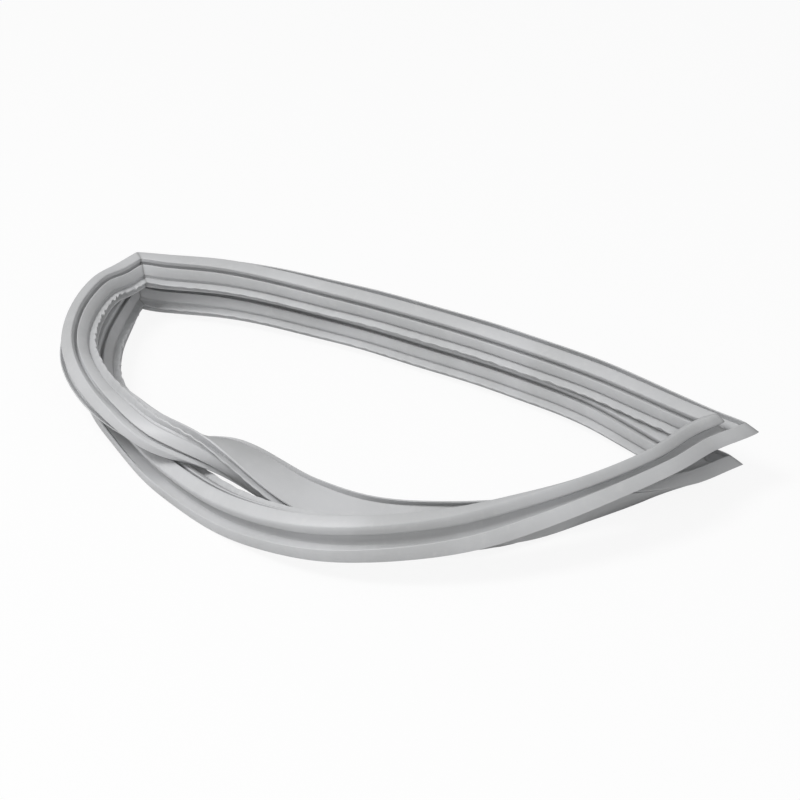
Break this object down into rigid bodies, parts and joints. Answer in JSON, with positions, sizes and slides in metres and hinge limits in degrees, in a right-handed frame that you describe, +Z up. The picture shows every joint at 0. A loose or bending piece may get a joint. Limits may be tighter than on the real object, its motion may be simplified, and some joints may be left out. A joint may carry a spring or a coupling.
{
  "type": "refrigerator door gasket",
  "caption": "Grey PVC refrigerator door gasket with mitred corners and a magnetic pocket, wound into a doubled D-shaped loop for storage.",
  "frame": {"origin": "centre of the wound gasket's bounding box, on the surface it lies on", "axes": "+X along the straight doubled back towards the lower right corner of the picture, +Y away from the viewer, +Z up"},
  "size_m": [0.5558, 0.5014, 0.0723],
  "materials": {
    "pvc": "satin soft PVC, light grey",
    "magnet": "matt ferrite-filled rubber strip, dark grey"
  },
  "bodies": {
    "root": {"gasket_loop": "pvc", "magnet_upper_short": "magnet", "magnet_front_long": "magnet", "magnet_lower_short": "magnet", "magnet_twisted_long": "magnet"}
  },
  "joints": []
}
